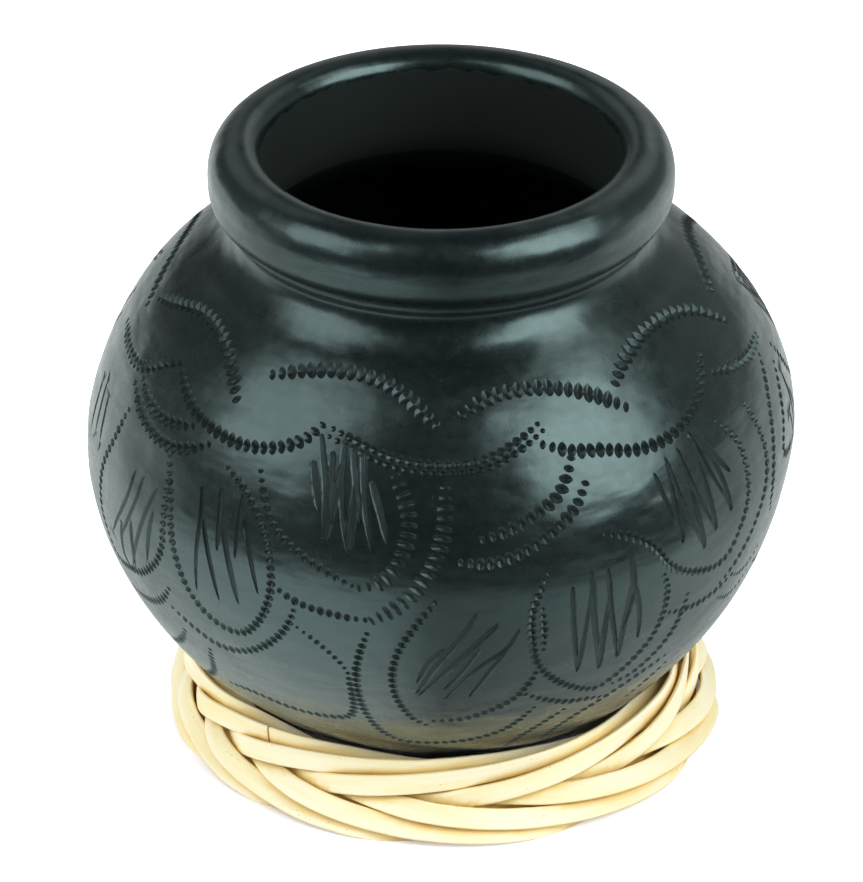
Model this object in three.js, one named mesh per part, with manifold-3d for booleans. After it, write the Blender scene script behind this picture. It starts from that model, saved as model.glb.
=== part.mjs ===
// Miniature round-bellied vase of black burnished clay, standing in a ring plaited from cane strips.
// Millimetres, +Z up. The origin is on the table, on the axis of the vase.

import * as THREE from 'three';
import { mergeVertices } from 'three/addons/utils/BufferGeometryUtils.js';
import Module from 'manifold-3d';

// Vase, outside. Heights and depths are counted from the widest line of the belly.
const BELLY_RADIUS = 44;
const BOWL_DEPTH = 42.4; // where the bowl would close on the axis without its flat base
const BOWL_EXPONENT = 1.91; // 2 is an ellipse, less is more pointed
const BASE_RADIUS = 14; // flat spot under the bowl
const BASE_STANDOFF = 1.3; // height of that spot over the table, when the ring carries the vase
const NECK_RADIUS = 25.8; // the groove between the shoulder and the ridge
const NECK_HEIGHT = 29.1;
const NECK_FLARE = 3.7; // how far out the hollow of the neck starts on the shoulder
const SHOULDER_RISE = 27.5; // top of the shoulder's curve
const SHOULDER_REACH = 5.6; // how far inside the neck that curve would close
const SHOULDER_EXPONENT = 1.74;
const RIDGE_BULGE = 0.9; // half-round ridge under the lip
const LIP_OVERHANG = 2.8; // outermost line of the rolled lip, out from the neck
const LIP_WIDTH = 5.85; // from that line in to the crest of the lip
const LIP_HEIGHT = 9.1;

// Vase, inside
const WALL = 4.2;
const FLOOR_THICKNESS = 5;
const MOUTH_ROUND = 1.1; // width of the round between the lip's crest and the throat
const MOUTH_ROUND_DEPTH = 1.6;
const THROAT_BEND_RATIO = 0.33; // how soon the throat turns out into the shoulder
const FLOOR_FLAT_RATIO = 0.7; // flat part of the floor, as a share of its whole radius

// Plaited ring. Each strip swings between the edges of a band that leans in towards its top.
const STRIP_COUNT = 9;
const PASS_COUNT = 12; // times a strip comes to the top edge, in one turn of the ring
const STRIP_WIDTH = 2.5;
const STRIP_THICKNESS = 0.55;
const STRIP_CROWN = 0.12; // rise of the outer face over its edges
const SWING_RATIO = 1.78; // swing to either side of the band's middle, in strip widths
const LEAN_DEG = 26;
const START_DEG = -106.5; // turns the plait round the axis
const UNEVEN_DEG = 8; // the hand-drawn plait is closer on two sides than between them
const UNEVEN_AXIS_DEG = -107;
const FOOT_CUT = 0.5; // trimmed flat from the lowest edges

// Layers of the weave: pairs of a wave and its size in layer spacings. A strip lies outside the ones it
// crosses while it rises in the upper half or falls in the lower half, and inside them otherwise: the even
// waves. Its face rolls with the odd waves, so that neighbours which run together lie like shingles.
const LIFT_RATIO = [[2, 1.64], [4, -0.21], [6, 0.41]];
const ROLL_RATIO = [[1, 1.28], [3, 0.65], [5, 0.37]];

// Ends of the strips, as a share of a wave: one shows on the outside, the others lie under two strips
const SHOWN_END_RATIO = -0.075;
const HIDDEN_END_RATIO = 0.125;

// Fits
const STRIP_CLEARANCE = 0.4; // between strips that cross, square to the band
const END_GAP = 0.4; // between the butted ends of two strips
const SEAT_CLEARANCE = 0.3; // between the bowl and the ring that carries it

// Facets
const ROUND_STEPS = 60;
const BOWL_STEPS = 10;
const SHOULDER_STEPS = 8;
const INNER_BOWL_STEPS = 7;
const INNER_SHOULDER_STEPS = 5;
const LIP_STEPS = 10;
const BEND_STEPS = 4; // of the neck, the ridge, the mouth's round and the throat
const STRIP_STEPS = 46; // in one turn

const TURN = 2 * Math.PI;

const clay = new THREE.MeshStandardMaterial({ name: 'black_clay', color: 0x16191b, roughness: 0.32 });
const cane = new THREE.MeshStandardMaterial({ name: 'cane', color: 0xf0e2bd, roughness: 0.55 });

const point = (r, z) => new THREE.Vector2(r, z);

// Quarter of a superellipse from (outer, 0) to (inner, height), as far as the radius stop
class SuperArc extends THREE.Curve {
  constructor(outer, inner, height, exponent, stop) {
    super();
    Object.assign(this, { outer, inner, height, exponent });
    this.last = Math.acos(((stop - inner) / (outer - inner)) ** (exponent / 2));
  }

  getPoint(t, target = point()) {
    const angle = t * this.last;
    const power = 2 / this.exponent;
    const r = this.inner + (this.outer - this.inner) * Math.cos(angle) ** power;
    return target.set(r, this.height * Math.sin(angle) ** power);
  }
}

function ellipseArc(r, z, halfWidth, halfHeight, from, to, steps) {
  return new THREE.EllipseCurve(r, z, halfWidth, halfHeight, from, to, to < from).getPoints(steps);
}

// Points moved square to their line, towards the inside of the wall
function inset(points, depth) {
  return points.map((here, i) => {
    const ahead = points[Math.min(i + 1, points.length - 1)];
    const behind = points[Math.max(i - 1, 0)];
    const along = ahead.clone().sub(behind).normalize();
    return point(here.x - along.y * depth, here.y + along.x * depth);
  });
}

// Outside of the bowl: how deep it is at a radius, as shares of the two, and the other way round
const otherShare = (share) => (1 - share ** BOWL_EXPONENT) ** (1 / BOWL_EXPONENT);
const baseDepth = BOWL_DEPTH * otherShare(BASE_RADIUS / BELLY_RADIUS);
const bellyHeight = baseDepth + BASE_STANDOFF;
const bowlRadius = (z) => BELLY_RADIUS * otherShare((bellyHeight - z) / BOWL_DEPTH);

function vaseProfile() {
  const bowlArc = new SuperArc(BELLY_RADIUS, 0, -BOWL_DEPTH, BOWL_EXPONENT, BASE_RADIUS);
  const shoulderArc = new SuperArc(
    BELLY_RADIUS, NECK_RADIUS - SHOULDER_REACH, SHOULDER_RISE, SHOULDER_EXPONENT, NECK_RADIUS + NECK_FLARE,
  );
  const bowl = bowlArc.getPoints(BOWL_STEPS).reverse();
  const shoulder = shoulderArc.getPoints(SHOULDER_STEPS);

  const shoulderEnd = shoulder.at(-1);
  const slope = shoulderEnd.clone().sub(shoulder.at(-2));
  const neckTop = point(NECK_RADIUS, NECK_HEIGHT);
  const bend = point(NECK_RADIUS, shoulderEnd.y + slope.y * (NECK_RADIUS - shoulderEnd.x) / slope.x);
  const neck = new THREE.QuadraticBezierCurve(shoulderEnd, bend, neckTop).getPoints(BEND_STEPS).slice(1);

  const ridge = ellipseArc(
    NECK_RADIUS, NECK_HEIGHT + RIDGE_BULGE, RIDGE_BULGE, RIDGE_BULGE, -Math.PI / 2, Math.PI / 2, BEND_STEPS,
  ).slice(1);

  const crestRadius = NECK_RADIUS + LIP_OVERHANG - LIP_WIDTH;
  const underside = Math.acos((NECK_RADIUS - crestRadius) / LIP_WIDTH);
  const lipMiddle = ridge.at(-1).y + LIP_HEIGHT / 2 * Math.sin(underside);
  const lip = ellipseArc(
    crestRadius, lipMiddle, LIP_WIDTH, LIP_HEIGHT / 2, -underside, Math.PI / 2, LIP_STEPS,
  ).slice(1);

  const crest = lip.at(-1).y;
  const roundFoot = crest - MOUTH_ROUND_DEPTH;
  const mouth = ellipseArc(
    crestRadius, roundFoot, MOUTH_ROUND, MOUTH_ROUND_DEPTH, Math.PI / 2, Math.PI, BEND_STEPS,
  ).slice(1);

  const throatRadius = crestRadius - MOUTH_ROUND;
  const baseInside = FLOOR_THICKNESS - baseDepth;
  const skin = [
    ...bowlArc.getPoints(INNER_BOWL_STEPS).reverse(), ...shoulderArc.getPoints(INNER_SHOULDER_STEPS).slice(1),
  ];
  const inside = inset(skin, WALL).filter((p) => p.y > baseInside).reverse();
  const throatFoot = point(throatRadius, NECK_HEIGHT);
  const throatBend = throatFoot.clone().setY(inside[0].y + (NECK_HEIGHT - inside[0].y) * THROAT_BEND_RATIO);
  const throat = new THREE.QuadraticBezierCurve(throatFoot, throatBend, inside[0]).getPoints(BEND_STEPS);
  const floorEdge = inside.at(-1);

  return [
    point(0, -baseDepth), ...bowl, ...shoulder.slice(1), ...neck, ...ridge, ...lip, ...mouth,
    ...throat, ...inside.slice(1), point(floorEdge.x * FLOOR_FLAT_RATIO, baseInside), point(0, baseInside),
  ];
}

// Plait. A wave is one swing of a strip from the top edge down and back.
const lean = THREE.MathUtils.degToRad(LEAN_DEG);
const waves = PASS_COUNT / STRIP_COUNT; // in one turn
const swing = SWING_RATIO * STRIP_WIDTH;
const layer = STRIP_THICKNESS + STRIP_CLEARANCE;
const bandMiddle = (swing + STRIP_WIDTH / 2) * Math.cos(lean) - FOOT_CUT;

const sumOfWaves = (list, phase) =>
  list.reduce((sum, [order, size]) => sum + size * Math.sin(order * phase), 0);
const phaseOf = (strip, turn) => TURN * (waves * turn + strip / STRIP_COUNT);

function angleOf(turn) {
  const even = TURN * turn + THREE.MathUtils.degToRad(START_DEG);
  const uneven = Math.cos(2 * (even - THREE.MathUtils.degToRad(UNEVEN_AXIS_DEG)));
  return even - THREE.MathUtils.degToRad(UNEVEN_DEG) * uneven;
}

// Middle line of a strip, on a band of the given radius
function coursePoint(strip, turn, radius) {
  const phase = phaseOf(strip, turn);
  const up = swing * Math.cos(phase);
  const out = -layer * sumOfWaves(LIFT_RATIO, phase);
  const r = radius - up * Math.sin(lean) + out * Math.cos(lean);
  const z = bandMiddle + up * Math.cos(lean) + out * Math.sin(lean);
  const angle = angleOf(turn);
  return new THREE.Vector3(r * Math.cos(angle), r * Math.sin(angle), z);
}

// Flat back, crowned front: across the strip, then out from its middle
function stripSection() {
  const half = STRIP_WIDTH / 2;
  const back = -STRIP_THICKNESS / 2;
  const edge = STRIP_THICKNESS / 2 - STRIP_CROWN;
  return [[-half, back], [half, back], [half, edge], [half / 2, -back], [-half / 2, -back], [-half, edge]];
}

// Corners of a strip's section at one place on its course
function sectionAt(strip, turn, radius) {
  const small = 1e-4;
  const here = coursePoint(strip, turn, radius);
  const along = coursePoint(strip, turn + small, radius)
    .sub(coursePoint(strip, turn - small, radius)).normalize();
  const facing = new THREE.Vector3(here.x, here.y, 0).setLength(Math.cos(lean)).setZ(Math.sin(lean));
  const level = along.clone().cross(facing).normalize();
  const roll = Math.atan(layer / STRIP_WIDTH * sumOfWaves(ROLL_RATIO, phaseOf(strip, turn)));
  const across = level.applyAxisAngle(along, -roll);
  const outward = across.clone().cross(along);
  return stripSection().map(([u, n]) => here.clone().addScaledVector(across, u).addScaledVector(outward, n));
}

// Turn at which a strip starts. The first one starts in sight, the others on the far side from there.
function startOf(strip) {
  const shown = SHOWN_END_RATIO / waves;
  if (strip === 0) return shown;
  const far = shown + 0.5;
  const phase = waves * far + strip / STRIP_COUNT;
  const hidden = HIDDEN_END_RATIO + Math.round((phase - HIDDEN_END_RATIO) * 2) / 2;
  return far + (hidden - phase) / waves;
}

// A strip ends a turn later, where the strip that carries its course on starts
function stripRings(strip, radius) {
  const next = (strip + PASS_COUNT) % STRIP_COUNT;
  const trim = END_GAP / 2 / (TURN * radius);
  const first = startOf(strip) + trim;
  const last = startOf(next) + 1 - trim;
  const steps = Math.ceil((last - first) * STRIP_STEPS);
  const turns = Array.from({ length: steps + 1 }, (_, i) => first + (last - first) * i / steps);
  return turns.map((turn) => sectionAt(strip, turn, radius));
}

const stripNumbers = Array.from({ length: STRIP_COUNT }, (_, i) => i);
const plait = (radius) => stripNumbers.map((strip) => stripRings(strip, radius));

// Radius of the band whose strips just clear the bowl, found from a band of the bowl's own size
function bandRadius() {
  const trial = BELLY_RADIUS;
  const small = 0.01;
  const beside = plait(trial).flat(2).filter((corner) => corner.z > BASE_STANDOFF);
  const short = beside.map((corner) => {
    const slope = (bowlRadius(corner.z + small) - bowlRadius(corner.z)) / small;
    return bowlRadius(corner.z) + SEAT_CLEARANCE * Math.hypot(1, slope) - Math.hypot(corner.x, corner.y);
  });
  return trial + Math.max(...short);
}

// Skin over a row of like rings of points, with flat ends
function loft(rings) {
  const sides = rings[0].length;
  const index = [];
  for (let i = 0; i + 1 < rings.length; i++) {
    for (let j = 0; j < sides; j++) {
      const [a, b] = [i * sides + j, i * sides + (j + 1) % sides];
      index.push(a, a + sides, b, b, a + sides, b + sides);
    }
  }
  const end = (rings.length - 1) * sides;
  for (let j = 1; j + 1 < sides; j++) {
    index.push(0, j, j + 1, end, end + j + 1, end + j);
  }
  const geometry = new THREE.BufferGeometry().setFromPoints(rings.flat());
  geometry.setIndex(index);
  return geometry;
}

const wasm = await Module();
wasm.setup();

function toSolid(geometry) {
  const bare = geometry.clone();
  bare.deleteAttribute('normal');
  bare.deleteAttribute('uv');
  const merged = mergeVertices(bare);
  return new wasm.Manifold(new wasm.Mesh({
    numProp: 3,
    vertProperties: new Float32Array(merged.attributes.position.array),
    triVerts: new Uint32Array(merged.index.array),
  }));
}

function toGeometry(solid) {
  const mesh = solid.getMesh();
  const geometry = new THREE.BufferGeometry();
  geometry.setAttribute('position', new THREE.BufferAttribute(mesh.vertProperties, mesh.numProp));
  geometry.setIndex(new THREE.BufferAttribute(mesh.triVerts, 1));
  geometry.computeVertexNormals();
  return geometry;
}

function belowTable() {
  const side = 4 * BELLY_RADIUS;
  return toSolid(new THREE.BoxGeometry(side, side, side).translate(0, 0, -side / 2));
}

function named(name, geometry, material) {
  const mesh = new THREE.Mesh(geometry, material);
  mesh.name = name;
  return mesh;
}

const ring = new THREE.Group();
const table = belowTable();
plait(bandRadius()).forEach((rings, strip) => {
  ring.add(named(`ring_strip_${strip + 1}`, toGeometry(toSolid(loft(rings)).subtract(table)), cane));
});

const vase = named('vase', new THREE.LatheGeometry(vaseProfile(), ROUND_STEPS).rotateX(Math.PI / 2), clay);
vase.position.z = bellyHeight;

const part = new THREE.Group();
part.add(ring, vase);

export default part;
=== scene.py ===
# %% [markdown]
# # A miniature black vase in a plaited cane ring
# The pot is smoke-fired black clay, rubbed to a soft shine and covered with rows of small pressed dents.
# It stands loose in a ring that is plaited from nine strips of split cane.
# This notebook dresses the solid model of the two: the solids stay where they are, and each one gets a
# finer piece that takes its place.

import math

import bpy
import numpy as np
from mathutils.bvhtree import BVHTree
from mathutils.geometry import delaunay_2d_cdt
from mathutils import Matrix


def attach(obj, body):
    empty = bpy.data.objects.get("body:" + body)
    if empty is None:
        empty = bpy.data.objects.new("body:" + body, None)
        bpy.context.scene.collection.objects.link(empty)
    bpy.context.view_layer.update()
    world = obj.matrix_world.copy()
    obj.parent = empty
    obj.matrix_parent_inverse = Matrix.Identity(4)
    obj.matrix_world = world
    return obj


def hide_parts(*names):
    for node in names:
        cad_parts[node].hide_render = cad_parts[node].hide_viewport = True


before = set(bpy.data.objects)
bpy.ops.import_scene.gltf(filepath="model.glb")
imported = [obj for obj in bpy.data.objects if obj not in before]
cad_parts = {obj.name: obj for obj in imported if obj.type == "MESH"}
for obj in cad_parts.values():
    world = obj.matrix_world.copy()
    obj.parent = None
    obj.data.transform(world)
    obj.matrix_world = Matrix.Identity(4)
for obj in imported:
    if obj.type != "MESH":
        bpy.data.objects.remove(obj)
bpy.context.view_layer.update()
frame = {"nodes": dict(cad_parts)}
MM = 0.001
TURN = 2 * math.pi
scene = bpy.context.scene
scene.view_settings.view_transform = "Standard"
print("solids:", ", ".join(frame["nodes"]))

# %% [markdown]
# ## Wires between nodes
# Every finish and every repeated shape below is a tree of nodes. Written out link by link such a tree is
# hard to read, so one small class holds a socket and lets us write sums with it: each operator adds a Math
# node. Any other node comes from `node`, which sets the node's settings first and then feeds its sockets.
# The bench is the tree that is being built.


# %% A wire that can be calculated with
class Wire:
    def __init__(self, tree, socket=None):
        self.tree, self.socket = tree, socket

    def node(self, kind, sockets=None, out=0, **settings):
        new = self.tree.nodes.new(kind)
        for name, value in settings.items():
            setattr(new, name, value)
        for name, value in (sockets or {}).items():
            socket = self.pick(new.inputs, name)
            if isinstance(value, Wire):
                self.tree.links.new(value.socket, socket)
            else:
                socket.default_value = value
        return Wire(self.tree, self.pick(new.outputs, out) if new.outputs else None)

    @staticmethod
    def pick(sockets, key):
        if isinstance(key, int):
            return sockets[key]
        return next(s for s in sockets if s.enabled and key in (s.name, s.identifier))

    def math(self, operation, a, b=0.0):
        return self.node("ShaderNodeMath", {0: a, 1: b}, operation=operation)

    def __add__(self, other): return self.math("ADD", self, other)
    def __radd__(self, other): return self.math("ADD", other, self)
    def __sub__(self, other): return self.math("SUBTRACT", self, other)
    def __rsub__(self, other): return self.math("SUBTRACT", other, self)
    def __mul__(self, other): return self.math("MULTIPLY", self, other)
    def __truediv__(self, other): return self.math("DIVIDE", self, other)
    def __pow__(self, other): return self.math("POWER", self, other)


def node(kind, sockets=None, out=0, **settings):
    return bench.node(kind, sockets, out, **settings)


def shape_tree(name, inputs):
    """A new tree for a modifier: its start, and a wire for each named input."""
    tree = bpy.data.node_groups.new(name, "GeometryNodeTree")
    tree.is_modifier = True
    tree.interface.new_socket("Geometry", in_out="INPUT", socket_type="NodeSocketGeometry")
    tree.interface.new_socket("Geometry", in_out="OUTPUT", socket_type="NodeSocketGeometry")
    for title, kind in inputs.items():
        tree.interface.new_socket(title, in_out="INPUT", socket_type="NodeSocket" + kind)
    start = tree.nodes.new("NodeGroupInput")
    return Wire(tree), {socket.name: Wire(tree, socket) for socket in start.outputs if socket.name}


def end_tree(shape, material):
    """Ends a tree as every one here ends: real geometry, with its finish."""
    real = node("GeometryNodeRealizeInstances", {"Geometry": shape})
    done = node("GeometryNodeSetMaterial", {"Geometry": real, "Material": material})
    end = bench.tree.nodes.new("NodeGroupOutput")
    bench.tree.links.new(done.socket, end.inputs[0])


def run_tree(lines, tree, values):
    """The plain mesh that a tree makes of a mesh of lines."""
    carrier = new_object(lines.name, lines)
    step = carrier.modifiers.new(tree.name, "NODES")
    step.node_group = tree
    for item in tree.interface.items_tree:
        if item.in_out == "INPUT" and item.name in values:
            step[item.identifier] = values[item.name]
    seen = carrier.evaluated_get(bpy.context.evaluated_depsgraph_get())
    mesh = bpy.data.meshes.new_from_object(seen)
    bpy.data.objects.remove(carrier)
    return mesh


def new_object(name, data):
    obj = bpy.data.objects.new(name, data)
    scene.collection.objects.link(obj)
    return obj


# %% Values kept on a mesh
def keep_on(mesh, name, values, domain="POINT"):
    """Keeps a number, or a vector, for every point or corner of a mesh."""
    kind, field = ("FLOAT_VECTOR", "vector") if np.ndim(values) > 1 else ("FLOAT", "value")
    mesh.attributes.new(name, kind, domain).data.foreach_set(field, np.ravel(values))


def read(items, field, width=3, kind=float):
    """One field of many mesh items, a row for each."""
    values = np.empty(len(items) * width, kind)
    items.foreach_get(field, values)
    return values.reshape(-1, width) if width > 1 else values


# %% Nodes that several trees need
def bench_for(block):
    """An empty node tree on a new material or world, to build on."""
    block.use_nodes = True
    block.node_tree.nodes.clear()
    return Wire(block.node_tree)


def parts(value):
    return [node("ShaderNodeSeparateXYZ", {"Vector": value}, out=k) for k in range(3)]


def vector(x, y, z=0.0):
    return node("ShaderNodeCombineXYZ", {0: x, 1: y, 2: z})


def attribute(name):
    return node("ShaderNodeAttribute", out="Fac", attribute_name=name)


def ramp(value, low, high):
    """0 below low, 1 above high, smooth between."""
    return node("ShaderNodeMapRange", {"Value": value, "From Min": low, "From Max": high},
                interpolation_type="SMOOTHSTEP")


def mix(share, first, second):
    return node("ShaderNodeMix", {"Factor": share, "A": first, "B": second}, "Result", data_type="RGBA")


def bump(height, strength, distance, over=None):
    sockets = {"Height": height, "Strength": strength, "Distance": distance}
    return node("ShaderNodeBump", sockets | ({"Normal": over} if over else {}))


def ray_kinds():
    return [node("ShaderNodeLightPath", out=name) for name in ("Is Camera Ray", "Is Glossy Ray")]


# %% [markdown]
# ## The clay
# Black pottery of this kind is not glazed. It is rubbed with a smooth stone before firing, and the smoke of
# a closed kiln turns it black right through. The shine is therefore soft: broad, a little streaky round the
# pot, with fine specks that the stone missed. The gloss comes from the roughness and from very shallow bumps.

# %% Black clay, rubbed
SHINE_TINT = (0.68, 1.0, 0.98, 1)
clay = bpy.data.materials.new("black_clay")
bench = bench_for(clay)
place = node("ShaderNodeTexCoord", out="Object")


def noise(scale, detail=3.0, stretch=(1.0, 1.0, 1.0), rough=0.5):
    """Noise from 0 to 1 in the piece's own space, stretched along an axis where its number is small."""
    spread = node("ShaderNodeMapping", {"Vector": place, "Scale": stretch})
    sockets = {"Vector": spread, "Scale": scale, "Detail": detail, "Roughness": rough}
    return node("ShaderNodeTexNoise", sockets)


streaks = noise(260.0, 4.0, (0.3, 0.3, 1.9))
clouds = noise(38.0)
mottle = noise(800.0)
specks = ramp(noise(2300.0, 2.0, rough=0.6), 0.68, 0.78)
colour = mix(clouds, (0.0028, 0.0046, 0.0054, 1), (0.0055, 0.0080, 0.0088, 1))
colour = mix(specks * 0.25, colour, (0.03, 0.036, 0.037, 1))
rough = 0.21 + streaks * 0.14 + (clouds - 0.5) * 0.12 + specks * 0.2 + (mottle - 0.5) * 0.16
waves = noise(75.0, 2.0, (1.0, 1.0, 1.3)) * 0.8 + noise(210.0, 2.0, (0.5, 0.5, 1.5)) * 0.2 + mottle * 0.02
skin = bump(waves, 0.55, 0.0015, over=bump(streaks * 0.35, 0.3, 0.0002))
polished = node("ShaderNodeBsdfPrincipled", {
    "Base Color": colour, "Roughness": rough, "Normal": skin, "Specular IOR Level": 1.0,
    "Specular Tint": SHINE_TINT})
print("rubbed clay:", len(bench.tree.nodes), "nodes")

# %% Black clay, bare
pressed, scored, groove = [attribute(name) for name in ("pressed", "scored", "groove")]
x, y, level = parts(place)
from_axis = (x * x + y * y) ** 0.5
ragged = level + (noise(420.0, 4.0) - 0.5) * 0.0022
throat = (1.0 - ramp(from_axis, 0.0226, 0.0229)) * (1.0 - ramp(ragged, 0.0782, 0.0786))  # never rubbed
under_lip = ramp(level, 0.0690, 0.0705) * (1.0 - ramp(level, 0.0745, 0.0768))
under_lip = under_lip * ramp(from_axis, 0.0242, 0.0248)  # the stone hardly reached in here
drag = vector(groove * 5.0, level * 160.0)
scratches = node("ShaderNodeTexNoise", {"Vector": drag, "Scale": 1.0, "Detail": 3.0, "Roughness": 0.6},
                 noise_dimensions="2D")
bare = mix(ramp(scratches, 0.4, 0.8) * scored, (0.005, 0.007, 0.008, 1), (0.024, 0.031, 0.033, 1))
bare = mix(throat, bare, (0.0056, 0.0052, 0.0043, 1))
raw = node("ShaderNodeBsdfPrincipled", {
    "Base Color": bare, "Roughness": 0.34 + scratches * 0.2 + throat * 0.3,
    "Normal": bump(scratches * scored, 0.6, 0.0003), "Specular IOR Level": 0.55, "Specular Tint": SHINE_TINT})
touched = pressed
for other in (scored * 0.9, throat, under_lip * 0.55):
    touched = bench.math("MAXIMUM", touched, other)
shader = node("ShaderNodeMixShader", {0: touched, 1: polished, 2: raw})
node("ShaderNodeOutputMaterial", {"Surface": shader})
print("black clay:", len(bench.tree.nodes), "nodes")

# %% [markdown]
# ## The cane
# Split cane is pale and satin on its outer face, with fine fibres along the strip, short rows of open pores
# and a brown edge where the knife has cut it; its back face is painted brown too, as painted shade. The
# finish
# reads attributes that the strips carry: how far along and how far across a point lies, so the grain follows
# each strip round its bends. Another one, measured further down, tells how deep in the plait a point lies:
# there the cane is painted darker and more golden, as painted shade and golden bounced light.

# %% Split cane
cane = bpy.data.materials.new("cane")
bench = bench_for(cane)
along, across, number, outer, hidden = [attribute(name) for name in
                                        ("along", "across", "strip", "outer", "plait_shade")]


def grain(per_length, per_width, detail=2.0):
    """Noise in the strip's own directions: steps per metre along it and over half its width."""
    spread = vector(along * per_length, across * per_width, number * 7.31)
    return node("ShaderNodeTexNoise", {"Vector": spread, "Scale": 1.0, "Detail": detail})


fibres = grain(60.0, 9.0)
patches = grain(70.0, 0.7)
pores = ramp(grain(2600.0, 14.0, 1.0), 0.68, 0.76) * ramp(grain(110.0, 1.6, 1.0), 0.57, 0.66)
cut_edge = ramp(across * across, 0.78, 1.0)
# painted shade: the strip's back face is coloured brown because it lies in shadow; the brown of the cut edge
# is the cane's own
painted_back_shade = 1.0 - ramp(outer, -0.9, -0.2)
cut_edge_brown_and_back_shade = bench.math("MAXIMUM", cut_edge * 0.5, painted_back_shade * 0.6)
colour = mix(ramp(patches, 0.35, 0.7), (0.97, 0.92, 0.655, 1), (0.95, 0.85, 0.49, 1))
for share, shade in ((ramp(fibres, 0.52, 0.75) * 0.35, (0.89, 0.72, 0.37, 1)),
                     (cut_edge_brown_and_back_shade, (0.68, 0.46, 0.15, 1)),
                     # painted shade: the more of a point other strips cover, the darker and more golden it is
                     # painted, for the shadow and the golden light bounced between strips
                     (ramp(hidden, 0.08, 0.5) * 0.8, (0.94, 0.70, 0.22, 1)),
                     (ramp(hidden, 0.5, 0.95) * 0.85, (0.68, 0.40, 0.06, 1)),
                     (pores * 0.8, (0.22, 0.13, 0.05, 1))):
    colour = mix(share, colour, shade)
skin = bump((fibres - 0.5) * 0.8 - pores * 0.6, 0.5, 0.00012)
shader = node("ShaderNodeBsdfPrincipled", {
    "Base Color": colour, "Roughness": 0.38 + fibres * 0.16, "Normal": skin})
node("ShaderNodeOutputMaterial", {"Surface": shader})
print("cane:", len(bench.tree.nodes), "nodes")

# %% [markdown]
# ## The wall of the vase
# The pot is round, so one outline turned about the axis gives its form. Bowl, shoulder, neck and inside
# repeat the numbers of the solid model, only with many more points. The rolled lip and the round of its
# mouth are fuller than there and the ridge under it is softer, as their highlights in the photo show.
# Heights here are counted from the widest line of the belly, in millimetres.


# %% Lines in a plane
def unit(vectors):
    return vectors / np.linalg.norm(vectors, axis=1)[:, None]


def round_about(angle):
    """Level directions out from the axis."""
    return np.stack([np.cos(angle), np.sin(angle)], 1)


def run_of(line):
    """How far along a line each of its points lies."""
    return np.concatenate([[0], np.cumsum(np.hypot(*np.diff(line, axis=0).T))])


def points_at(places, run, line):
    """Points of a line, at places counted as its run is."""
    return np.stack([np.interp(places, run, line[:, k]) for k in (0, 1)], 1)


def super_arc(outer, inner, height, power, stop, steps):
    last = math.acos(((stop - inner) / (outer - inner)) ** (power / 2))
    turn = np.linspace(0, last, steps + 1)
    r = inner + (outer - inner) * np.cos(turn) ** (2 / power)
    return np.stack([r, height * np.sin(turn) ** (2 / power)], 1)


def oval(r, z, wide, high, start, end, steps):
    turn = np.linspace(start, end, steps + 1)
    return np.stack([r + wide * np.cos(turn), z + high * np.sin(turn)], 1)


def bend(a, b, c, steps):
    t = np.linspace(0, 1, steps + 1)[:, None]
    return (1 - t) ** 2 * a + 2 * t * (1 - t) * b + t ** 2 * c


# %% Outline of the vase
BELLY, BOWL_DEPTH, BOWL_POWER = 44.0, 42.4, 1.91
BASE, STANDOFF = 14.0, 1.3  # radius of the base, and its height over the table
NECK, NECK_HEIGHT, NECK_FLARE = 25.8, 29.1, 3.7
SHOULDER_RISE, SHOULDER_REACH, SHOULDER_POWER = 27.5, 5.6, 1.74
RIDGE_HALF, RIDGE_OUT = 0.9, 0.45
LIP_OVERHANG, LIP_WIDTH, LIP_HEIGHT = 2.8, 4.1, 8.78
LIP_POWER, FLANK_POWER = 2.2, 3.5  # how square the lip is above and below its middle; 2 is an oval
MOUTH, MOUTH_DEPTH = 2.4, 2.1
WALL, FLOOR = 4.2, 5.0
WALL_STEPS = 400
base_depth = BOWL_DEPTH * (1 - (BASE / BELLY) ** BOWL_POWER) ** (1 / BOWL_POWER)
belly_height = base_depth + STANDOFF
bowl = super_arc(BELLY, 0, -BOWL_DEPTH, BOWL_POWER, BASE, WALL_STEPS)[::-1]
shoulder = super_arc(BELLY, NECK - SHOULDER_REACH, SHOULDER_RISE, SHOULDER_POWER, NECK + NECK_FLARE,
                     WALL_STEPS)
wall = np.concatenate([bowl, shoulder[1:]])
wall_s = run_of(wall)
wall_s -= wall_s[len(bowl) - 1]
wall_out = unit(np.gradient(wall, wall_s, axis=0) @ np.array([[0, -1], [1, 0]]))
print(f"wall from {wall_s[0]:.1f} to {wall_s[-1]:.1f} mm along its height, belly at {belly_height:.1f} mm")


# %% A place on the wall
def on_wall(angle, s):
    """Points (metres) and outward directions on the outside of the pot; s is counted up from the belly."""
    r, z = points_at(s, wall_s, wall).T
    out_r, out_z = points_at(s, wall_s, wall_out).T
    ring = round_about(angle)
    point = np.column_stack([r[:, None] * ring, z + belly_height]) * MM
    return point, np.column_stack([out_r[:, None] * ring, out_z])


# %% [markdown]
# ## The pressed rows
# The potter rolled and pressed a small tool into the leather-hard clay, one dent beside the next, along
# scallops, ovals and leaf shapes. Inside the ovals there are a few long scored strokes. The rows below were
# read off the photo: each is a list of "angle height" places on the wall. The angle is in degrees, from the
# right of the picture (0) over the front (90) to the left; the height is in millimetres along the wall.
# The back can't be seen, so the rows of the front are carried on round it.

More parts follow.
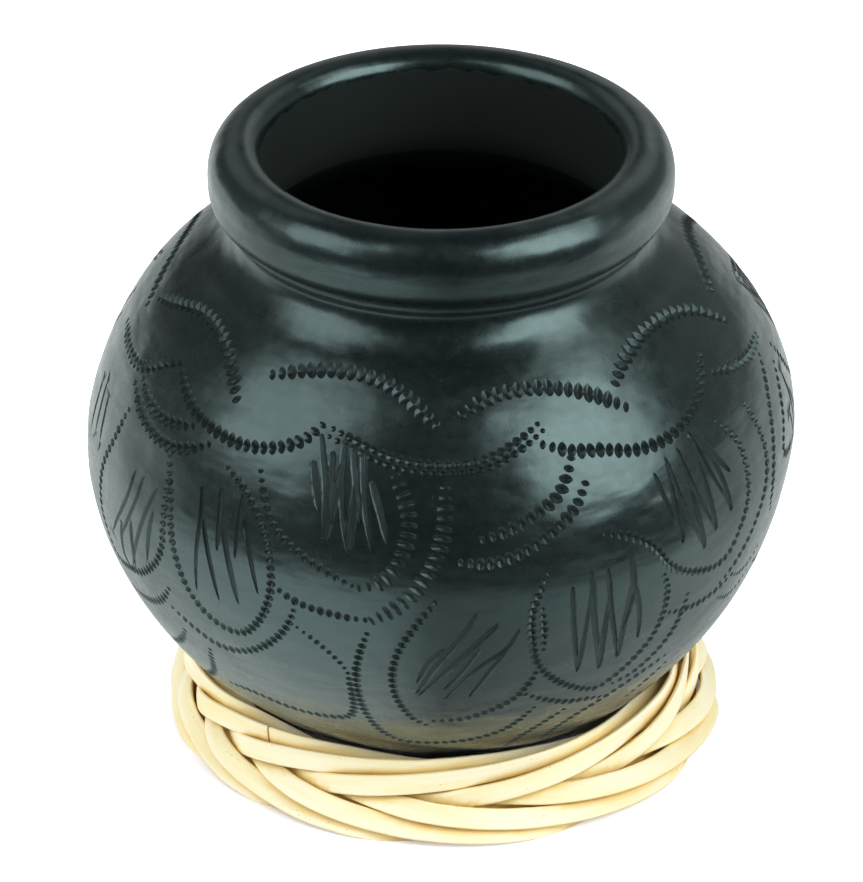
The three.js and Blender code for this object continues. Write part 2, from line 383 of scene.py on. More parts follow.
# %% Rows read from the photo
FRONT_ROWS = {
    "wheat": """
172 22.4,165 24.3,157 26.2,150 26.5,143 25.3,137 23,132.5 20
127.5 24.5,122 26,115 27.2,108 27.4,101 26.4,96 24.5,91 21.8 *
86 23,80 25,73 25.5,66 25,59 23.2,55 21.5,52.5 20.2 *
52.5 23.3,48 25.4,41 27.1,34 27.5,27 27,20 25,14.5 21.2 *""",
    "seed": """
178 15.6,170 15.2,163 15.3,158 16.6,154 18.6,150.5 20
148.5 19.2,143 17,136 15.6,128 15.2,121 16.2,116 18,113 20.3 *
71.2 18.4,66 17,60 16.2,54 15,47 14.8,40 16,34 18,29 21 *
28.7 18.4,23 17.2,16 16.2,8 16
158 15,153 13.4,147 13.1,142 13.9,139.5 14.6
160 13.6,155 12,149 10.8,143 10.8,138 12,134.5 13.6
83.5 7.9,79 8.8,74 10.4,70 12.2,67.5 14.8,66.5 16.2 *
87 5.2,82 4.9,77 5.9,72 7.8,67.5 10.3,64.9 12.9 *""",
    "pair": """
111 19.6,105 18.4,98 17,90 16.5,82 17,76 18.6,71 20.5 *""",
    "dash": """
103 1.5,99 2.6,96.5 5.6,95.3 9,95.8 12,98 15.5 *
101 -3.1,97 -0.9,93.5 2,91 5.4,89.5 9.5,89.3 14.2 *""",
    "dot": """
122.5 13,120.5 10,117.5 6.6,112 4,104 1.5 *
117.5 -0.5,113 -2.2,106 -3,102 -3.1 *
129 12,125 10.4,121 7.5,118.7 4.5,117.7 0.5,118.3 -3,120.2 -6.3,123.5 -9.3,127 -10,\
131 -9,134.5 -6.4,137 -2.3,138.5 2,139.7 5.5,142.3 9.8 *
141.3 9,140.6 5,140.3 1.5,140.4 -1.5,142 -4.4,144.5 -6.5,148 -8.7,152 -9.8,157 -10.8,\
160 -10,162 -6,162.2 -2,161.2 2,159.5 5.6,158 10.5
140 -8,142.5 -10.5,146 -12.6,151 -14.2,157 -15
140.5 -11.3,136 -12.9,131 -14.1,126 -13.5,121.5 -11.5,117.5 -8.6,115 -5.8,113.9 -3.5 *
134.5 -24,128 -23.4,121 -24.2,114 -24.2,108 -23,106 -20.5,105.5 -16.5,105.6 -12.5 *
134 -16.3,136.5 -21,139 -23.5,143 -26,148 -28
139.5 -15,141.5 -17,145 -19.5,150 -21.8
101.8 -5.2,103.2 -8.5,104.2 -12.5,104.3 -17,103.6 -21.8,101.8 -26,98.5 -29,93 -29.6,\
87 -29.1,81.5 -27.7,77 -25.3,73 -20.4 *
91 0,93.7 -3.1,96.6 -7.2,98 -11.5,97.7 -16.2,95.3 -21.1,92.8 -23.1 *
91.4 -22,86 -21.5,81 -19.6,77 -17,74.6 -13.4,74 -11.5 *
73 2.8,74.8 0,75.7 -3,75.3 -7,74 -11,70.7 -14.4,66.3 -17.2,61.5 -19,58.6 -17.8,\
55 -14.9,52.2 -11.5,51.1 -7.5,51.2 -4,52.2 -1.8 *
74 -2,73.6 -5.5,73.4 -8.5 *
75.2 -16.8,71.7 -18.6,66.7 -20.5,62 -21.3,59 -22 *
46.1 -6.8,46.4 -9.5,47.6 -13,50.2 -16,53.5 -18.3,57.5 -19.3 *
46 -17.9,50 -19.1,54.3 -20.9,58.9 -23.4,62.7 -26,65.2 -29.2,66.6 -32.8 *
66.3 -22.7,69 -25,71.3 -27.5,73.3 -30,74.8 -33.2 *
44 -20.3,46.5 -22.8,49.5 -26 *
63 6.4,58.5 5.1,54.5 2.8,51 -0.8,46.5 -3.1,40.5 -4.6,36.5 -4,33.6 -0.8,31.5 2.7,\
30.9 6.5,31.4 10,34.8 13.6 *
25.5 12.8,24.3 9.5,24 6,25 2.6,27.3 -1,30.3 -4.7,34.5 -7.5,37 -8.5 *
33.4 -8.7,37 -9.4,41.6 -9.7,46 -9.3,49.6 -8.5 *
12 14.6,16 11.5,19 8.2,21.2 4.4,22.4 1,22.4 -2,21.8 -3.5
8 11.8,11.5 8.8,14.3 5.8,16.4 3.2,15.5 1.7,11.5 1.3,8 1.6""",
    "fine": """
113.5 -6,110 -8,107 -10.4,105.5 -12.5
33 -8.8,30.5 -9.8,27 -9.9,23.5 -8.6 *
35.5 -11.6,32 -13,28.5 -13,25 -11.8 *""",
}
SCORED_STROKES = """
112.9 19.4,110 12.8,109.1 6.2 *
113.3 16,112.2 13.7,110.6 10 *
108.1 19.3,107.2 13.1,105.1 5.5 *
104.4 18.6,103 12.3,101 5.8 *
102.2 14.7,100.1 10.7,98.7 7.1 *
109.2 6.6,108.4 11.1,108 16.4 *
105.1 5.9,104.8 10.6,104.7 16 *
109.9 17.6,109 11.7,108.1 8.7 *
106.3 18.5,104.2 12.2,103.3 9.3 *
51.8 11.7,50.4 6.7,48.3 1.3 *
48.3 2,49.1 6.8,48.9 12.2 *
48.7 13,47.3 6.3,43.4 -1.1 *
43.4 -0.8,45 5.6,45.8 12.7 *
45.7 13.4,44.3 7.4,40.7 0.5 *
40.7 0.8,41.7 6.6,42.2 13.8 *
41.9 14.5,40.1 8.7,36.4 1.8 *
36.6 2.1,37.9 7.4,39.9 12.6 *
40.1 13,37.9 10,35.3 6.9 *
69.1 0.6,68.4 -6.1,66.4 -14.4 *
66.5 -13.9,66.4 -8.2,65.9 -0.6 *
65.8 2.3,65 -5.2,62.1 -15 *
62.2 -14.6,62.8 -8.2,62.7 -1.9 *
63 2,61.8 -5.2,58.9 -13.8 *
59 -13.4,59.2 -7.4,58.7 -0.7 *
58.7 3.2,58.2 -2.3,59.2 -8.6 *
58.1 -1.3,56.5 -5.8,55.6 -11.1 *
133.3 8.8,132.2 4.5,132.7 -5.9 *
129.1 9.5,128.2 5.6,128.1 1.4 *
131.6 4.9,129.3 -0.6,127.9 -5.8 *
127.4 5,125.3 -0.3,124 -5.2 *
124.6 9.8,124.5 5.2,124.5 1.3 *
123.7 6.9,121.5 2,120.1 -2.6 *
149.8 5.4,151.3 0.6,157.3 -6.5
147.2 5.4,148.6 1,153.2 -5.4
143.1 5.3,147.1 -2.6,151.1 -9.2
152.8 -3.4,153.8 -8.2,152 -9.8
149.4 -1.8,149.5 -5.2,149.8 -8.3
143.1 2.1,145 -5.6
84.4 -1.6,86.1 -4.2,91.1 -10.5,94.6 -15.9 *
80.9 -3.3,85.4 -7.3,90 -11.8,94.3 -16.2 *
77.5 -4.5,79.6 -7.5,84.6 -11,90 -17.2 *
79.5 -8.2,81.7 -10.8,85.4 -16.4 *
89.4 -7,91.9 -9.2,94.2 -13.4 *
83.9 -7.2,87 -11.6,89.7 -14.6 *
174 8,172 2
171 9,168.5 3
167.5 8.5,165 3"""
BACK_TURNS = (118.0, 238.0)  # degrees by which the starred rows are turned to fill the back
BACK = (-9.0, 185.0)  # degrees, counted over the back: the side that the photo doesn't show


def read_rows(text):
    """Rows as arrays of (degrees, mm). Those with a star are repeated behind, where the photo can't see."""
    for line in text.strip().splitlines():
        row = np.array([[float(n) for n in spot.split()] for spot in line.rstrip(" *").split(",")]) * [-1, 1]
        yield row
        for turn in BACK_TURNS if line.endswith("*") else ():
            copy = row + [turn, 0]
            if BACK[0] < copy[:, 0].mean() < BACK[1]:
                yield copy


rows = [(kind, row) for kind, text in FRONT_ROWS.items() for row in read_rows(text)]
strokes = list(read_rows(SCORED_STROKES))
print(len(rows), "pressed rows,", len(strokes), "scored strokes")

# %% [markdown]
# A tool leaves dents of one size at an even pitch, so each row is a path with dents set along it. That is
# work for Geometry Nodes: the rows become curves, the curves are cut at the pitch, and an outline of one
# dent is set on every point, square to the wall and turned along the row. The outline is a circle whose two
# ends can be pinched to a tip, so the one tree gives drops, seeds, bars and dots. A seeded random value
# keeps it a hand's work.

# %% The tree that sets dents along the rows
CORNERS = 12  # of one dent's outline
bench, given = shape_tree("dents along rows", {
    "Pitch": "Float", "Along": "Float", "Across": "Float", "Slant": "Float", "Outer tip": "Float",
    "Inner tip": "Float", "Unevenness": "Float", "Seed": "Int", "Clay": "Material"})


def stored(name, kind="FLOAT_VECTOR"):
    return node("GeometryNodeInputNamedAttribute", {"Name": name}, data_type=kind)


def any_number(low, high, shift):
    return node("FunctionNodeRandomValue", {"Min": low, "Max": high, "Seed": given["Seed"] + shift},
                "Value", data_type="FLOAT")


ring_of_points = node("GeometryNodeMeshCircle", {"Vertices": CORNERS, "Radius": 0.5 * MM})
x, y, _ = parts(node("GeometryNodeInputPosition"))
outer_half = bench.math("GREATER_THAN", y, 0.0)
pinch = given["Inner tip"] + (given["Outer tip"] - given["Inner tip"]) * outer_half
reach = bench.math("MAXIMUM", bench.math("ABSOLUTE", x) * 2000.0, 0.001)
pinched = vector(x * reach ** pinch, y)
mark = node("GeometryNodeSetPosition", {"Geometry": ring_of_points, "Position": pinched})

curves = node("GeometryNodeMeshToCurve", {"Mesh": given["Geometry"]})
even = node("GeometryNodeResampleCurve", {"Curve": curves, "Length": given["Pitch"]}, mode="LENGTH")
square = node("FunctionNodeAxesToRotation", {
    "Primary Axis": stored("facing"), "Secondary Axis": node("GeometryNodeInputTangent")},
    primary_axis="Z", secondary_axis="X")
turned = given["Slant"] + any_number(-1.0, 1.0, 1) * given["Unevenness"]
spin = node("FunctionNodeAxisAngleToRotation", {"Axis": (0, 0, 1), "Angle": turned})
turn = node("FunctionNodeRotateRotation", {"Rotation": square, "Rotate By": spin},
            rotation_space="LOCAL")
grow = stored("fade", "FLOAT") * (1.0 + any_number(-0.6, 0.6, 2) * given["Unevenness"])
dents = node("GeometryNodeInstanceOnPoints", {
    "Points": even, "Instance": mark, "Rotation": turn,
    "Scale": vector(given["Along"] * grow, given["Across"] * grow, 1.0)})
end_tree(dents, given["Clay"])
print("dent tree:", len(bench.tree.nodes), "nodes")

# %% Paths for the rows
FLAT = 40.0  # millimetres for one radian, when the wall is laid out flat
PATH_STEP, SPAN_STEPS = 0.4, 24
END_SIZE, END_RUN = 0.62, 3.0  # a row starts and ends with smaller dents


def smooth_path(row, step):
    """Even points on a smooth curve through the places of a row: radians and millimetres."""
    flat = row * [math.radians(1), 1.0]
    knots = np.concatenate([2 * flat[:1] - flat[1:2], flat, 2 * flat[-1:] - flat[-2:-1]])
    t = np.linspace(0, 1, SPAN_STEPS, endpoint=False)[:, None]
    spans = []
    for a, b, c, d in zip(knots, knots[1:], knots[2:], knots[3:]):
        spans.append(b + 0.5 * t * (c - a + t * (2 * a - 5 * b + 4 * c - d + t * (3 * (b - c) + d - a))))
    path = np.concatenate(spans + [flat[-1:]])
    run = run_of(path * [FLAT, 1])
    places = np.linspace(0, run[-1], max(2, round(run[-1] / step) + 1))
    return points_at(places, run, path), places


def row_lines(lines, aside):
    """A mesh with a path for each row, moved aside from it; it carries the wall's outward direction."""
    places, facings, fades, links = [], [], [], []
    for row in lines:
        path, length = smooth_path(row, PATH_STEP)
        heading = unit(np.gradient(path * [FLAT, 1], axis=0))
        point, out = on_wall(*(path + aside * np.stack([-heading[:, 1] / FLAT, heading[:, 0]], 1)).T)
        from_end = np.minimum(length, length[-1] - length)
        links += [(len(places) + i, len(places) + i + 1) for i in range(len(path) - 1)]
        places += point.tolist()
        facings += out.tolist()
        fades += (END_SIZE + (1 - END_SIZE) * np.clip(from_end / END_RUN, 0, 1)).tolist()
    mesh = bpy.data.meshes.new("rows")
    mesh.from_pydata(places, links, [])
    keep_on(mesh, "facing", facings)
    keep_on(mesh, "fade", fades)
    return mesh


# %% Dents along all rows
# pitch, size along the row and across it, slant (degrees), offset of the row to the side, how pointed the
# outer and the inner end are, how much deeper the inner end goes; two lines make a double row
KINDS = {
    "wheat": [(1.24, 1.36, 2.35, 8, 0.0, 0.9, 0.2, 0.3)],
    "seed": [(1.20, 1.24, 1.95, 6, 0.0, 0.6, 0.6, 0.0)],
    "pair": [(1.12, 1.16, 1.25, 12, 0.55, 0.7, 0.0, 0.2), (1.12, 1.1, 1.05, -12, -0.52, 0.0, 0.5, 0.0)],
    "dash": [(1.17, 0.78, 2.40, 0, 0.0, -0.3, -0.3, 0.0)],
    "dot": [(1.06, 1.02, 1.34, 4, 0.0, 0.4, 0.4, 0.1)],
    "fine": [(0.90, 0.70, 1.05, 0, 0.0, 0.4, 0.4, 0.0)],
}
UNEVENNESS, FIRST_SEED = 0.13, 7
corners, dent_tips = [], []
for kind, lines in KINDS.items():
    for number, (pitch, long, wide, slant, aside, outer, inner, tilt) in enumerate(lines):
        paths = row_lines([row for name, row in rows if name == kind], aside)
        outlines = run_tree(paths, bench.tree, {
            "Pitch": pitch * MM, "Along": long, "Across": wide, "Slant": math.radians(slant),
            "Outer tip": outer, "Inner tip": inner, "Unevenness": UNEVENNESS, "Seed": FIRST_SEED + number,
            "Clay": clay})
        corners.append(read(outlines.vertices, "co").reshape(-1, CORNERS, 3) / MM)
        dent_tips += [(outer, inner, tilt)] * len(corners[-1])
        print(kind, len(corners[-1]), "dents")
corners, dent_tips = np.concatenate(corners), np.array(dent_tips)

# %% [markdown]
# ## Pressing the dents in
# The dents have to be real hollows with crisp rims. So the wall is laid out flat like a sheet of paper, the
# outlines of all dents and strokes are drawn on it, and the sheet is cut into triangles that follow every
# outline. Then each point goes back on the wall, and the points inside an outline go in by its depth.

# %% Dents on the flat sheet
SHEET = (-38.0, float(wall_s[-1]))
SEAM = -0.75 * TURN  # the sheet's side edges meet at the back
LEFT, RIGHT = SEAM * FLAT, (SEAM + TURN) * FLAT
EDGE_ROOM, SEAM_ROOM, LONGEST = 0.3, 0.4, 20.0
DEPTH_SHARE, LEAST_DEPTH, MOST_DEPTH = 0.9, 0.15, 0.56  # a dent is as deep as a share of its shorter half
INNER_LINE = 0.6  # how far out the inner ring of a dent's points lies, as a share of its outline
angle = (np.arctan2(corners[..., 1], corners[..., 0]) - SEAM) % TURN + SEAM
height = np.interp(corners[..., 2] - belly_height, wall[:, 1], wall_s)
flat_dents = np.stack([angle * FLAT, height], -1)
low, high = flat_dents.min(1), flat_dents.max(1)
fits = high[:, 0] - low[:, 0] < LONGEST  # a dent on the seam seems as long as the sheet
fits &= np.minimum(low[:, 0] - LEFT, RIGHT - high[:, 0]) > SEAM_ROOM
fits &= (high[:, 1] < SHEET[1] - EDGE_ROOM) & (low[:, 1] > SHEET[0] + EDGE_ROOM)
flat_dents, dent_tips = flat_dents[fits], dent_tips[fits]
dent_middle = flat_dents.mean(1)
dent_long, dent_wide = [(flat_dents[:, k] - flat_dents[:, k + CORNERS // 2]) / 2 for k in (0, CORNERS // 4)]
short_half = np.minimum(np.hypot(*dent_long.T), np.hypot(*dent_wide.T))
dent_depth = np.clip(DEPTH_SHARE * short_half, LEAST_DEPTH, MOST_DEPTH)
dent_inner = dent_middle[:, None] + INNER_LINE * (flat_dents[:, ::2] - dent_middle[:, None])
print(f"{len(flat_dents)} dents on the sheet, {dent_depth.min():.2f} to {dent_depth.max():.2f} mm deep")

# %% Scored strokes on the flat sheet
STROKE_HALF = 0.41
BROAD_HALF, BROAD_ABOVE = 0.62, 5  # the strokes high on the pot were made with the flat of the tool
SHAPE = np.array([[0, 0.02], [0.025, 0.62], [0.07, 0.9], [0.16, 1], [0.5, 1], [0.75, 0.85], [0.9, 0.55],
                  [0.97, 0.28], [1, 0.02]])  # along a stroke, and its width there
WALL_SHARE = 0.4  # of the half width, for the steep side of a stroke
STROKE_STEP, CLOSEST = 0.2, 0.012
stroke_lines = []
chance = np.random.default_rng(11)
for row in strokes:
    path, _ = smooth_path(row, STROKE_STEP)
    station = np.unique(np.concatenate([SHAPE[:, 0], np.linspace(0, 1, len(path) // 3)[1:-1]]).round(3))
    station = station[np.concatenate([[True], np.diff(station) > CLOSEST])]
    station[-1] = 1
    line = points_at(station * (len(path) - 1), np.arange(len(path)), path) * [FLAT, 1]
    widest = BROAD_HALF if row[:, 1].min() > BROAD_ABOVE else STROKE_HALF
    half = widest * chance.uniform(0.8, 1.1) * np.interp(station, *SHAPE.T)
    half[1:-1] *= chance.uniform(0.93, 1.07, len(half) - 2)
    heading = unit(np.gradient(line, axis=0))
    aside = np.stack([-heading[:, 1], heading[:, 0]], 1) * half[:, None]
    stroke_lines.append((line, half, aside, chance.uniform(0.17, 0.27)))
print(len(stroke_lines), "strokes")


# %% Places across a stroke
def across_stroke(points, line, half):
    """Where flat points lie across a stroke: 0 on its middle line, -1 and 1 on its left and right edge."""
    a, b = line[:-1], line[1:]
    t = np.clip(((points[:, None] - a) * (b - a)).sum(2) / ((b - a) ** 2).sum(1), 0, 1)
    gap = points[:, None] - a - t[..., None] * (b - a)
    share = np.linalg.norm(gap, axis=2) / (half[:-1] * (1 - t) + half[1:] * t)
    nearest = np.arange(len(points)), share.argmin(1)
    side = np.sign((b - a)[:, 0] * gap[..., 1] - (b - a)[:, 1] * gap[..., 0])
    return (share * side)[nearest]


def steep_share(side):
    """How far down the steep side of a stroke a place across it lies: 0 on its edge, 1 on its floor."""
    return np.clip((1 - np.abs(side)) / WALL_SHARE, 0, 1)


# %% Outlines of all marks
points, loops, creases = [], [], []


def draw(outline, *inner):
    """Adds an outline, counter-clockwise, and lines of points inside it that the triangles have to keep."""
    x, y = outline.T
    loop = list(range(len(points), len(points) + len(outline)))
    loops.append(loop if (x * np.roll(y, -1) - y * np.roll(x, -1)).sum() > 0 else loop[::-1])
    points.extend(map(tuple, outline))
    for line in inner:
        creases.extend((i, i + 1) for i in range(len(points), len(points) + len(line) - 1))
        points.extend(map(tuple, line))


for outline, inner, middle in zip(flat_dents, dent_inner, dent_middle):
    draw(outline, inner, middle[None])
    last = len(points) - 2
    creases.append((last, last - len(inner) + 1))  # closes the inner line
for line, half, aside, depth in stroke_lines:
    rim, floor = line + aside, (1 - WALL_SHARE) * aside
    outline = np.concatenate([line[:1], rim[1:-1], line[-1:], (line - aside)[-2:0:-1]])
    draw(outline, line[1:-1], (line + floor)[1:-1], (line - floor)[1:-1])
print(len(loops), "outlines of", len(points), "points")

# %% Cutting the sheet into triangles
COLUMNS = 180
GRID, GRID_RISE = 1.7, 0.87  # points on the plain clay: spacing, and that of their rows as a share of it
CELL = 0.5  # plain points keep about this far from the marks
seam_s = np.linspace(*SHEET, round((SHEET[1] - SHEET[0]) / (GRID * GRID_RISE)) + 1)
busy = {tuple(c) for c in np.floor(np.array(points) / CELL).astype(int)}
free = []
for k, s in enumerate(seam_s[1:-1]):
    for x in np.arange(LEFT + GRID * (0.75 if k % 2 else 1.0), RIGHT - GRID * 0.6, GRID):
        column, line = int(x // CELL), int(s // CELL)
        if busy.isdisjoint((column + i, line + j) for i in (-1, 0, 1) for j in (-1, 0, 1)):
            free.append((x, s))
rim_x = np.linspace(LEFT, RIGHT, COLUMNS + 1)
rim = [(x, s) for s in SHEET for x in rim_x]
sides = [(x, s) for x in (LEFT, RIGHT) for s in seam_s[1:-1]]
cut = delaunay_2d_cdt(points + free + rim + sides, creases, loops, 0, 1e-5)
sheet_flat = np.array([tuple(v) for v in cut[0]])
sheet_faces, sheet_owners = cut[2], cut[5]
print(len(sheet_flat), "points and", len(sheet_faces), "triangles on the sheet")

# %% Depth of every point
HALVINGS, HOLLOW = 24, 1.2  # steps of a search, and how round the hollow of a dent is
deep = np.zeros(len(sheet_flat))
owner_of = [max(owners, default=-1) for owners in sheet_owners]
pairs = {(v, owner) for face, owners in zip(sheet_faces, sheet_owners) for owner in owners for v in face}
pairs = np.array(sorted(pairs))


def share_of(u, v, outer, inner):
    """How far out a place in a dent lies: 0 in its middle, 1 on its outline."""
    power = (1 + np.where(v > 0, outer, inner)) / 2
    low, high = np.abs(v), np.full_like(v, 2.0)
    for _ in range(HALVINGS):
        size = np.maximum((low + high) / 2, 1e-9)
        beyond = np.abs(u) > size * np.maximum(1 - (v / size) ** 2, 0) ** power
        low, high = np.where(beyond, size, low), np.where(beyond, high, size)
    return np.clip(high, 0, 1)


point, dent = pairs[pairs[:, 1] < len(flat_dents)].T
offset = sheet_flat[point] - dent_middle[dent]
a, b = dent_long[dent], dent_wide[dent]
area = a[:, 0] * b[:, 1] - a[:, 1] * b[:, 0]
u = (offset[:, 0] * b[:, 1] - offset[:, 1] * b[:, 0]) / area
v = (a[:, 0] * offset[:, 1] - a[:, 1] * offset[:, 0]) / area
outer, inner, tilt = dent_tips[dent].T
floor = dent_depth[dent] * (1 - tilt * v) / (1 + tilt)
np.maximum.at(deep, point, floor * (1 - share_of(u, v, outer, inner) ** HOLLOW))
for number, (line, half, aside, depth) in enumerate(stroke_lines):
    here = pairs[pairs[:, 1] == number + len(flat_dents), 0]
    side = across_stroke(sheet_flat[here], line, half)
    deep[here] = np.maximum(deep[here], depth * (0.85 + 0.15 * side) * steep_share(side))
print("deepest", deep.max().round(3), "mm;", sum(owner >= 0 for owner in owner_of), "triangles inside marks")

# %% [markdown]
# Above and below the pressed zone the pot is plain, and rings of points turned about the axis do: from the
# middle of the base up to the sheet, and from the sheet over neck, ridge, lip and throat down to the floor
# inside. The rings have as many points as the sheet's edges, so that the three parts join without a seam.

# %% Neck, lip and throat
BEND_STEPS, LIP_STEPS, THROAT_STEPS = 10, 40, 8
EASE = 4  # steps over which the lip, from its foot, gets square
slope = shoulder[-1] - shoulder[-2]
neck_bend = np.array([NECK, shoulder[-1, 1] + slope[1] * (NECK - shoulder[-1, 0]) / slope[0]])
neck = bend(shoulder[-1], neck_bend, np.array([NECK, NECK_HEIGHT]), BEND_STEPS)
ridge = oval(NECK, NECK_HEIGHT + RIDGE_HALF, RIDGE_OUT, RIDGE_HALF, -math.pi / 2, math.pi / 2, BEND_STEPS)
crest = NECK + LIP_OVERHANG - LIP_WIDTH
under = math.acos((NECK - crest) / LIP_WIDTH)
lip_middle = ridge[-1, 1] + LIP_HEIGHT / 2 * math.sin(under)
lip = oval(crest, lip_middle, LIP_WIDTH, LIP_HEIGHT / 2, -under, math.pi / 2, LIP_STEPS)
from_middle = lip - [crest, lip_middle]
reach = np.abs(from_middle / [LIP_WIDTH, LIP_HEIGHT / 2])
power = np.where(from_middle[:, 1] > 0, LIP_POWER, FLANK_POWER)  # a thumb left it a little square
square = (reach ** power[:, None]).sum(1) ** (-1 / power) - 1
lip = lip + (square * np.clip(np.arange(LIP_STEPS + 1) / EASE, 0, 1))[:, None] * from_middle
mouth = oval(crest, lip[-1, 1] - MOUTH_DEPTH, MOUTH, MOUTH_DEPTH, math.pi / 2, math.pi, BEND_STEPS)
inner = (wall - WALL * wall_out)[::-12]
inner = inner[inner[:, 1] > FLOOR - base_depth]
throat_foot = np.array([crest - MOUTH, NECK_HEIGHT])
throat_bend = np.array([crest - MOUTH, inner[0, 1] + (NECK_HEIGHT - inner[0, 1]) * 0.33])
throat = bend(throat_foot, throat_bend, inner[0], THROAT_STEPS)
print(f"lip from {ridge[-1, 1]:.1f} to {lip[-1, 1]:.1f} mm over the belly")

# %% The plain parts of the wall
SOFT = 0.5  # millimetres over which wet fingers rounded the creases of the neck
SOFT_POINTS, CREST_POINTS, LOW_RINGS = 90, 8, 14
AXIS = 0.01  # millimetres, as good as on the axis
rolled = np.concatenate([neck, ridge[1:], lip[1:-CREST_POINTS]])
run = run_of(rolled)
even_run = np.linspace(0, run[-1], SOFT_POINTS)
rolled = points_at(even_run, run, rolled)
from_end = np.minimum(even_run, run[-1] - even_run)[:, None]
weight = np.exp(-0.5 * ((even_run[:, None] - even_run) / SOFT) ** 2)
weight *= np.minimum(1, from_end / SOFT) ** 2 * 0.999 + np.eye(SOFT_POINTS)
rolled = weight @ rolled / weight.sum(1)[:, None]
well = np.array([[inner[-1, 0] * 0.7, FLOOR - base_depth], [AXIS, FLOOR - base_depth]])
upper = np.concatenate([rolled, lip[-CREST_POINTS:], mouth[1:], throat, inner[1:], well])
low = points_at(np.linspace(wall_s[0], SHEET[0], LOW_RINGS), wall_s, wall)
lower = np.concatenate([[[AXIS, -base_depth], [BASE * 0.9, -base_depth]], low])
print(len(lower), "rings below the sheet,", len(upper), "above it")


# %% One skin for the whole vase
def turned_rings(outline):
    """Points and outward directions of an outline turned about the axis, ring by ring."""
    tangent = unit(np.diff(outline, axis=0))
    tangent = np.concatenate([tangent[:1], tangent[:-1] + tangent[1:], tangent[-1:]])
    out = unit(np.stack([tangent[:, 1], -tangent[:, 0]], 1))
    ring = round_about(rim_x[:-1] / FLAT)
    xy = outline[:, None, :1] * ring
    z = np.broadcast_to(outline[:, None, 1:] + belly_height, (*xy.shape[:2], 1))
    n = np.concatenate([out[:, None, :1] * ring, np.broadcast_to(out[:, None, 1:], z.shape)], 2)
    return np.concatenate([xy, z], 2).reshape(-1, 3) * MM, n.reshape(-1, 3)


sheet_point, sheet_out = on_wall(sheet_flat[:, 0] / FLAT, sheet_flat[:, 1])
spots, outs = [sheet_point - sheet_out * deep[:, None] * MM], [sheet_out]
faces, owners = list(sheet_faces), list(owner_of)
for outline in (lower, upper):
    first = sum(map(len, spots))
    point, out = turned_rings(outline)
    spots.append(point)
    outs.append(out)
    for a in range(first, first + (len(outline) - 1) * COLUMNS, COLUMNS):
        b = a + COLUMNS
        for j in range(COLUMNS):
            k = (j + 1) % COLUMNS
            faces.append((a + j, a + k, b + k, b + j))
            owners.append(-1)
spots, outs = np.concatenate(spots), np.concatenate(outs)
print(len(faces), "faces in three parts")

# %% What the hand left uneven
TILT, TILT_RISE = 0.4, 3  # the lip is a little higher in front than behind
# the belly isn't quite true: how far it is pulled to the right of the picture, at heights over the table
SKEW = np.array([[11, 15, 22, 30, 36, 41, 47, 53, 59, 65],
                 [0, -0.6, -0.6, -0.6, -0.4, 0, 0.38, 0.45, 0.15, 0]])
STRAIGHT = 22  # radius within which nothing is pulled
height = spots[:, 2] / MM
outward = round_about(np.arctan2(spots[:, 1], spots[:, 0]))
pull = np.interp(height, *SKEW) * outward[:, 0] * np.abs(outward[:, 0]) * MM
pull *= np.hypot(spots[:, 0], spots[:, 1]) / MM > STRAIGHT
spots[:, :2] += pull[:, None] * outward
on_lip = np.clip((height - belly_height - NECK_HEIGHT - 2 * RIDGE_HALF) / TILT_RISE, 0, 1)
spots[:, 2] -= TILT * outward[:, 1] * on_lip * MM
print(f"belly pulled by up to {np.abs(pull).max() / MM:.2f} mm")

# %% Joining the parts
_, first_of, same = np.unique(np.round(spots / MM, 4), axis=0, return_index=True, return_inverse=True)
spots, outs, same = spots[first_of], outs[first_of], same.ravel()
joined, face_owner = [], []
for face, owner in zip(faces, owners):
    loop = list(dict.fromkeys(int(same[i]) for i in face))
    if len(loop) > 2:
        joined.append(loop)
        face_owner.append(owner)
face_owner = np.array(face_owner)
depth_of, flat_of = np.zeros(len(spots)), np.zeros((len(spots), 2))
depth_of[same[:len(sheet_flat)]] = deep
flat_of[same[:len(sheet_flat)]] = sheet_flat
vase_mesh = bpy.data.meshes.new("vase_body")
vase_mesh.from_pydata(spots.tolist(), [], joined, shade_flat=False)
print(len(spots), "points,", len(joined), "faces")

# %% [markdown]
# A burnished wall shows every facet, so its shading comes from the true outline and not from the triangles.
# Inside a dent the triangles themselves say which way the clay faces, so that its cut sides look crisp; on
# its rim the two are blended a little, because the tool's edge rounds the clay.

# %% Shading directions
RIM_ROUND, CRISP = 0.35, 0.7
STEEP = 0.95  # cosine to the wall, under which a face is a side of a stroke and not its floor
face_out = read(vase_mesh.polygons, "normal")
face_area = read(vase_mesh.polygons, "area", 1)
loop_point = read(vase_mesh.loops, "vertex_index", 1, int)
sides = np.array([len(f) for f in joined])
loop_face = np.repeat(np.arange(len(joined)), sides)
loop_owner = face_owner[loop_face]
true_out = unit(np.add.reduceat(outs[loop_point], np.cumsum(sides) - sides))
steep = ((face_out * true_out).sum(1) < STEEP).astype(int)
steep[face_owner < len(flat_dents)] = 1  # a dent has no floor, its sides meet in a point
inside = loop_owner >= 0
hollow = np.zeros((2, len(spots), 3))  # floors and steep sides apart, so that the edge between them stays
np.add.at(hollow, (steep[loop_face[inside]], loop_point[inside]),
          face_out[loop_face[inside]] * face_area[loop_face[inside], None])
hollow /= np.maximum(np.linalg.norm(hollow, axis=2), 1e-12)[..., None]
round_share = np.where(depth_of < 1e-6, RIM_ROUND, 0.0)[:, None]
hollow[1] = hollow[1] * (1 - round_share) + outs * round_share
shade = np.where(inside[:, None], hollow[steep[loop_face], loop_point], outs[loop_point])
cut_side = (inside & (loop_owner < len(flat_dents)))[:, None] * CRISP
shade = unit(shade * (1 - cut_side) + face_out[loop_face] * cut_side)
